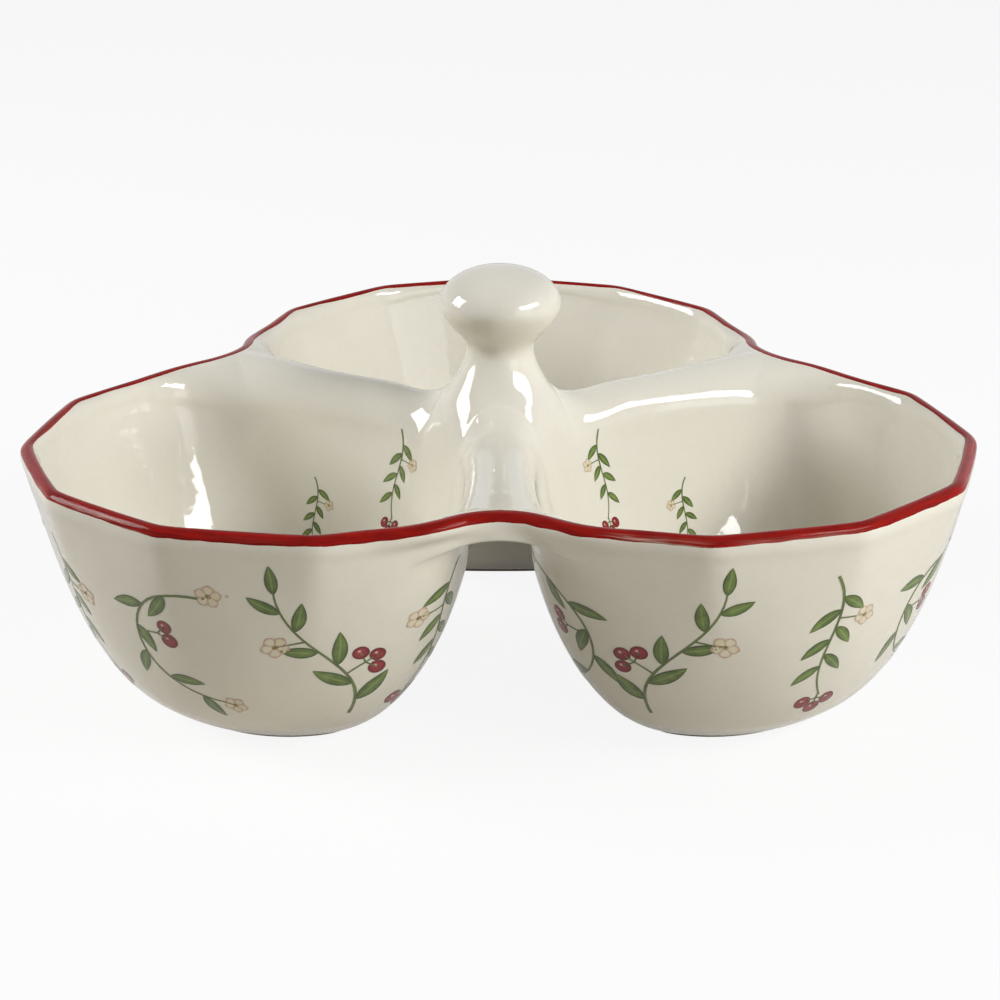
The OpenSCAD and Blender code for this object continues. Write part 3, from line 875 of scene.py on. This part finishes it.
def band_section(core, out, start, end, low_len):
    """A section of the band: its upper side, its underside and their shares across.

    It runs round the lip's core from one angle to another, and then straight down by a length.
    """
    arc = (end - start) * BAND_ARC_R
    upper, under, shares = [], [], []
    for k in range(BAND_ACROSS):
        # Closer rows at the band's two edges
        wave = math.cos(math.pi * k / (BAND_ACROSS - 1))
        share = 0.5 - 0.5 * wave * (0.75 + 0.25 * abs(wave))
        way = share * (arc + low_len)
        if way <= arc:
            a = min(start + way / BAND_ARC_R, math.radians(BAND_LAST_DEG))
            d = out * math.sin(a) + UP * math.cos(a)
            origin = core + d * BAND_RAY
        else:
            d = out
            origin = core + out * BAND_RAY - UP * (way - arc + BAND_SINK)
        hit = body_tree.ray_cast(Vector(origin), Vector(-d), BAND_RAY_END)[0]
        hit = np.array(hit) if hit is not None else core + d * BAND_MISS_R
        if np.dot(hit - core, d) < BAND_NEAR:
            hit = core + d * BAND_MISS_R
        from_edge = min(share, 1 - share) * (arc + low_len)
        lift = BAND_RISE * float(smooth(from_edge / BAND_RISE_W)) - BAND_SINK
        upper.append(hit + d * lift)
        under.append(hit - d * BAND_UNDER)
        shares.append(share)
    return upper, under, shares


def band_mesh():
    """Places and faces of the band, and for each face's corners how far along and across it they lie."""
    edge, inward, total = rim_line()
    start = np.radians(-BAND_IN_DEG - waves(*IN_WAVE))
    depth = BAND_DEPTH + waves(*DEPTH_WAVE) + waves(*FINE_WAVE)
    rows = []
    for n in range(BAND_COUNT):
        core = edge[n] + np.append(inward[n] * lip_in, -LIP_DROP)
        low_len = max(depth[n] - LIP_DROP, 0.0)
        end = math.acos(1 - min(depth[n] / LIP_DROP, 1.0))
        upper, under, shares = band_section(core, -np.append(inward[n], 0), start[n], end, low_len)
        rows.append(upper + under[::-1])
    quads, faces = loop_quads(BAND_COUNT, len(rows[0]))
    shares = [*shares, *shares[::-1], shares[0]]
    uvs = [(total / BAND_UNIT * row / BAND_COUNT, shares[col]) for quad in quads for row, col in quad]
    return np.array(rows).reshape(-1, 3), faces, uvs


def add_uvs(obj, name, uvs):
    layer = obj.data.uv_layers.new(name=name)
    layer.data.foreach_set("uv", np.array(uvs, np.float32).ravel())


points, faces, uvs = band_mesh()
band = new_mesh("rim_band_brushed", points, faces, [red])
add_uvs(band, "band", uvs)
own_piece(band, "rim_band")


# Sprigs: flat shapes in millimetres, as complex numbers, laid on the walls
def bend(points, t):
    """A curve through its first and last points, pulled by those between."""
    points = [np.full(np.shape(t), p, complex) for p in points]
    while len(points) > 1:
        points = [mix(a, b, t) for a, b in zip(points, points[1:])]
    return points[0]


class Art:
    """Shapes of one sprig: each has a paint, a grid of points and the same grid's shares."""

    def __init__(self, rng):
        self.shapes, self.rng = [], rng

    def add(self, paint, points, along, across):
        self.shapes.append((list(PAINTS).index(paint), points, np.stack([along, across], -1)))

    def strip(self, paint, line, half, t, s):
        """A strip along a line, half as wide on each side; t runs along it and s, from -1 to 1, across."""
        side = np.gradient(line) * 1j
        side /= np.abs(side)
        points = line[:, None] + (side * half)[:, None] * s
        self.add(paint, points, *np.meshgrid(t, s / 2 + 0.5, indexing="ij"))

    def stem(self, points, wide, thin):
        t = np.linspace(0, 1, STEM_POINTS)
        self.strip("stem", bend(points, t), mix(wide, thin, t) / 2, t, np.array([-1.0, 1.0]))

    def leaf(self, base, angle, length, wide, curl, paint="leaf", round_tip=0.85):
        t = np.linspace(0, 1, LEAF_POINTS)
        way = np.exp(1j * math.radians(angle))
        half = wide / 2 * np.sin(np.pi * t ** round_tip) ** LEAF_POWER
        line = base + length * way * (t + 1j * curl * t ** 2)
        self.strip(paint, line, half, t, np.linspace(-1, 1, LEAF_ACROSS))

    def disc(self, paint, middle, radius):
        turns = np.linspace(0, 2 * np.pi, DISC_POINTS)
        r, a = np.meshgrid(DISC_RINGS, turns, indexing="ij")
        p = r * np.exp(1j * a)
        self.add(paint, middle + radius * p, p.real / 2 + 0.5, p.imag / 2 + 0.5)

    def berries(self, points, t, angle, stalk, count):
        start = bend(points, np.array([t]))[0]
        fork = start + stalk * np.exp(1j * math.radians(angle))
        self.stem([start, mix(start, fork, 0.5) + 0.4j, fork], 0.7, 0.6)
        for k in range(count):
            turn = angle + (k - (count - 1) / 2) * BERRY_FAN_DEG
            middle = fork + BERRY_STALK * np.exp(1j * math.radians(turn))
            self.stem([fork, middle], 0.6, 0.5)
            self.disc("berry", middle, BERRY_R + BERRY_MORE * self.rng.random())

    def blossom(self, points, t, angle, stalk, size):
        start = bend(points, np.array([t]))[0]
        middle = start + stalk * np.exp(1j * math.radians(angle))
        self.stem([start, middle], 0.7, 0.5)
        apart = 360 / PETALS
        first = apart * self.rng.random()
        for k in range(PETALS):
            self.leaf(middle, first + apart * k, size, size * PETAL_SHARE, 0.0, "petal", 1.35)
        self.disc("eye", middle, size * EYE_SHARE)

    def twig_leaf(self, points, t, side, length, spread=46):
        ahead = bend(points, np.array([t - 0.02, t + 0.02]))
        heading = math.degrees(np.angle(ahead[1] - ahead[0]))
        angle = heading + side * (spread + LEAF_TURN * (self.rng.random() - 0.5))
        long = length * (LEAF_LEAST + LEAF_MORE * self.rng.random())
        self.leaf(ahead.mean(), angle, long, length * LEAF_SHARE, -side * LEAF_CURL)


# The three sprigs; h is 1, or -1 for the mirrored one
def arching(art, h):
    line = [-13 * h - 28j, -21 * h - 3j, 9 * h + 2j, 13 * h + 27j]
    art.stem(line, 1.1, 0.6)
    for n, t in enumerate((0.1, 0.24, 0.42, 0.56, 0.74, 0.87)):
        art.twig_leaf(line, t, (-1) ** n * h, 15 - 4 * t)
    art.twig_leaf(line, 0.98, 0, 11, 0)
    art.berries(line, 0.33, 90 + 52 * h, 7, 3)
    art.blossom(line, 0.66, 90 - 105 * h, 9, 4.6)


def hanging(art, h):
    line = [2 * h + 29j, -8 * h + 12j, 8 * h - 4j, -3 * h - 22j]
    art.stem(line, 1.0, 0.6)
    for t in (0.22, 0.46, 0.68):
        for side in (-1, 1):
            art.twig_leaf(line, t + 0.05 * side * h, side, 12.5 - 3 * t, 52)
    art.berries(line, 0.98, -90, 2.5, 3)
    art.blossom(line, 0.34, 180 * (h > 0) + 8 * h, 10, 4.2)


def curling(art, h):
    line = [14 * h + 22j, -20 * h + 27j, -21 * h - 17j, 13 * h - 22j]
    art.stem(line, 1.0, 0.6)
    for n, t in enumerate((0.14, 0.3, 0.46, 0.62, 0.78, 0.92)):
        art.twig_leaf(line, t, -h if n % 2 else h, 13 - 2 * t)
    art.berries(line, 0.5, 90 - 82 * h, 8, 2)
    art.blossom(line, 0.0, 90 - 60 * h, 2.5, 4.4)
    art.blossom(line, 1.0, -20 * h, 2.5, 3.8)


class Painting:
    """One bowl's sprigs as a mesh that lies on the glaze."""

    def __init__(self, direction, turn):
        self.direction, self.turn = direction, turn
        self.points, self.normals, self.faces, self.paints, self.uvs = [], [], [], [], []

    def on_wall(self, p, deg, height, inside):
        """The place and the normal on the wall for a point of the drawing, or None where the wall ends."""
        z = height + p.imag * tilt_out(height)
        r = outline_r(deg, z, self.turn, 0.0)
        hand = -1 if inside else 1
        a = deg + hand * math.degrees(p.real / r)
        r = outline_r(a, z, self.turn, 0.0)
        way = turned(np.array([cosd(a), sind(a), 0.0]), self.direction)
        middle = turned(np.array([centre_reach(z), 0.0, z]), self.direction)
        start = middle + way * (r - PAINT_RAY_IN if inside else r + PAINT_RAY)
        hit, face, index, _ = body_tree.ray_cast(Vector(start), Vector(way * -hand), PAINT_RAY_END)
        if hit is None or face.dot(Vector(way)) * hand <= PAINT_FACING:
            return None
        corners = open_faces[index]
        share = np.array(poly_3d_calc([Vector(places[v]) for v in corners], hit))
        normal = share @ normals[corners]
        normal /= np.linalg.norm(normal)
        return np.array(hit) + normal * PAINT_LIFT, normal

    def lay(self, art, deg, height, size=1.0, inside=False):
        """Lays a sprig on the wall; a shape that would reach past the wall's end is left out."""
        for paint, grid, shares in art.shapes:
            rows, cols = grid.shape
            base = len(self.points)
            laid = [self.on_wall(p, deg, height, inside) for p in (grid * size).ravel()]
            if any(spot is None for spot in laid):
                continue
            self.points += [place for place, _ in laid]
            self.normals += [normal for _, normal in laid]
            flat = shares.reshape(-1, 2)
            for i in range(rows - 1):
                for j in range(cols - 1):
                    first = i * cols + j
                    corners = [first, first + cols, first + cols + 1, first + 1]
                    self.faces.append([base + c for c in corners])
                    self.paints.append(paint)
                    self.uvs += [flat[c] for c in corners]

    def mesh(self, name, materials):
        corner = [self.normals[v] for f in self.faces for v in f]
        obj = new_mesh(name, np.array(self.points), self.faces, materials, corner)
        obj.data.polygons.foreach_set("material_index", np.array(self.paints, np.int32))
        add_uvs(obj, "paint", self.uvs)
        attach(obj, "root")


def paint_sprigs():
    materials = [paint_material(p) for p in PAINTS]
    drawings = (arching, hanging, curling)
    for n, (name, direction, turn) in enumerate(BOWLS):
        rng = np.random.default_rng(SPRIG_SEED + n)
        painting = Painting(direction, turn)
        for k, deg in enumerate(SPRIG_TURNS):
            art = Art(rng)
            drawings[(k + n) % 3](art, 1 if (k + n) % 2 else -1)
            painting.lay(art, deg, SPRIG_H)
        side = 1 if name == "bowl_right" else -1
        for deg, height, size in INSIDE_SPOTS:
            art = Art(rng)
            hanging(art, side)
            painting.lay(art, side * deg, height, size, inside=True)
        painting.mesh("sprigs_" + name[5:] + "_painted", materials)


paint_sprigs()


# The unglazed foot rings
def foot_ring(name, direction, turn):
    deg = np.linspace(-180, 180, FOOT_COUNT, endpoint=False)
    z = np.full(FOOT_COUNT, FOOT_H)
    ring = [at(along(deg, outline_r(deg, z, turn, FOOT_STEP + inset), z), h) for inset, h in FOOT_SECTION]
    points = turned(np.array(ring).transpose(1, 0, 2).reshape(-1, 3), direction)
    faces = [face[::-1] for face in loop_quads(FOOT_COUNT, len(FOOT_SECTION))[1]]
    obj = new_mesh(name + "_bare", points, faces, [clay])
    obj.data.set_sharp_from_angle(angle=math.radians(40))
    own_piece(obj, name)


for name, direction, turn in BOWLS:
    foot_ring(name.replace("bowl", "foot_ring"), direction, turn)


# Floor, lamps and camera, in metres
FLOOR_HALF = 6.0
LAMP_AIM = Vector((0, 0, 0.07))


def stage_floor():
    """A table that throws up warm light and looks white itself, with a faint shadow."""
    mesh = bpy.data.meshes.new("floor")
    corners = [(x * FLOOR_HALF, y * FLOOR_HALF, 0) for x, y in ((-1, -1), (1, -1), (1, 1), (-1, 1))]
    mesh.from_pydata(corners, [], [(0, 1, 2, 3)])
    material, n = new_material("pale_floor")
    seen, by_camera = sees_background(n)
    n.set(Base_Color=n.colour(seen, (0.54, 0.50, 0.42), (0.90, 0.90, 0.90)), Roughness=0.9)
    white = n.new("ShaderNodeEmission", {"Color": (1, 1, 1, 1), "Strength": 1.0})
    share = n.math("MULTIPLY", n.ramp(by_camera, 0.0, 1.0, 0.35, 0.90), seen)
    both = n.new("ShaderNodeMixShader", {0: share, 1: n.shader.outputs[0], 2: white.outputs[0]})
    n.feed(n.tree.nodes["Material Output"].inputs[0], both.outputs[0])
    mesh.materials.append(material)
    obj = new_object("floor", mesh)


def lamp_at(name, azimuth, elevation, distance, wide, high, power):
    """A lamp that faces LAMP_AIM, at a distance and a direction from it."""
    data = bpy.data.lights.new(name, "AREA")
    data.shape, data.size, data.size_y, data.energy = "RECTANGLE", wide, high, power
    obj = new_object(name, data)
    flat = cosd(elevation)
    way = Vector((flat * cosd(azimuth), flat * sind(azimuth), sind(elevation)))
    obj.location = LAMP_AIM + distance * way
    obj.rotation_euler = way.to_track_quat("Z", "Y").to_euler()


def stage_light():
    """Three soft lamps, and a studio that is dark for light and white where it is seen."""
    lamp_at("left_box", 175, 26, 1.5, 0.60, 0.60, 15.9)
    lamp_at("right_soft", -28, 31, 1.6, 1.05, 0.34, 18.2)
    lamp_at("right_low", -45, 8, 1.6, 0.90, 0.90, 5.4)
    world = bpy.data.worlds.new("studio")
    bpy.context.scene.world = world
    n = Nodes(world, "Background")
    n.set(Color=(1, 1, 1, 1), Strength=n.ramp(sees_background(n)[0], 0.0, 1.0, 0.03, 1.0))


def stage_camera():
    """The camera that was fitted to the photo."""
    data = bpy.data.cameras.new("camera")
    data.lens, data.sensor_width = 88.93, 36.0
    data.clip_start, data.clip_end = 0.05, 30.0
    camera = new_object("camera", data)
    camera.location = (0.0, -0.7926, 0.3363)
    camera.rotation_euler = (math.radians(69.82), 0, 0)
    bpy.context.scene.camera = camera


stage_floor()
stage_light()
stage_camera()
bpy.context.scene.view_settings.view_transform = "Standard"
